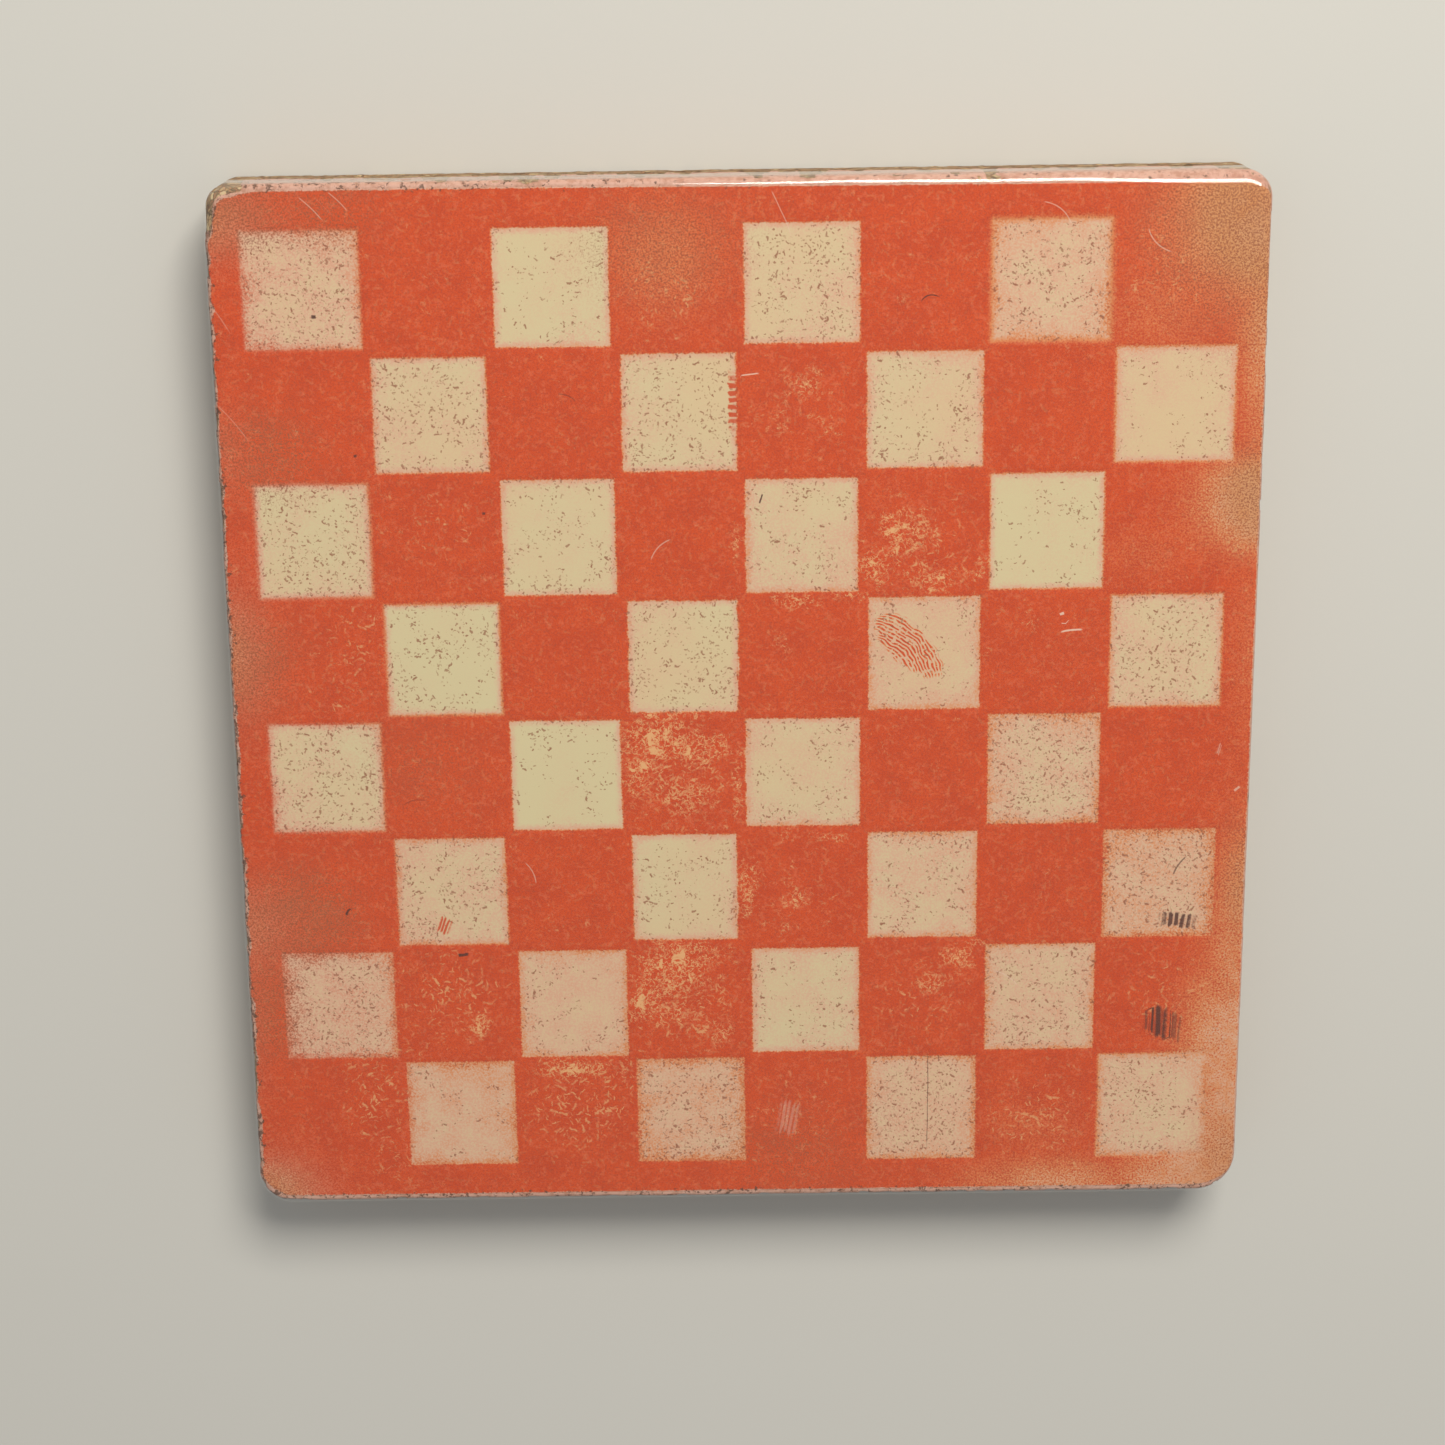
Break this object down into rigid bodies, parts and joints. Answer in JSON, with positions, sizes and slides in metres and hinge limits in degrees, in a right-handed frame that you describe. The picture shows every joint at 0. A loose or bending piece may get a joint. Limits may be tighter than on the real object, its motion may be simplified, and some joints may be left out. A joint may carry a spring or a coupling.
{
  "type": "draughts board",
  "caption": "Flat home-made chipboard game board with rounded corners, light masked squares in a sprayed red coat and a thick clear varnish.",
  "frame": {"origin": "middle of the back of the slab, on the surface that the board lies on", "axes": "+Z out of the playing face, +Y towards the edge that is at the top when the board stands up, +X to the right of someone looking at the face"},
  "size_m": [0.218, 0.2254, 0.0197],
  "materials": {
    "coarse_chipboard": "raw, coarse chips",
    "fine_chipboard": "raw, fine chips",
    "cream_paint": "brushed undercoat under varnish",
    "red_paint": "sprayed coat under varnish, worn",
    "varnish": "clear, thick, glossy"
  },
  "bodies": {
    "root": {"chip_core": "coarse_chipboard", "face_chips": "fine_chipboard", "back_chips": "fine_chipboard", "cream_undercoat": "cream_paint", "red_coat": "red_paint", "clear_varnish": "varnish"}
  },
  "joints": []
}
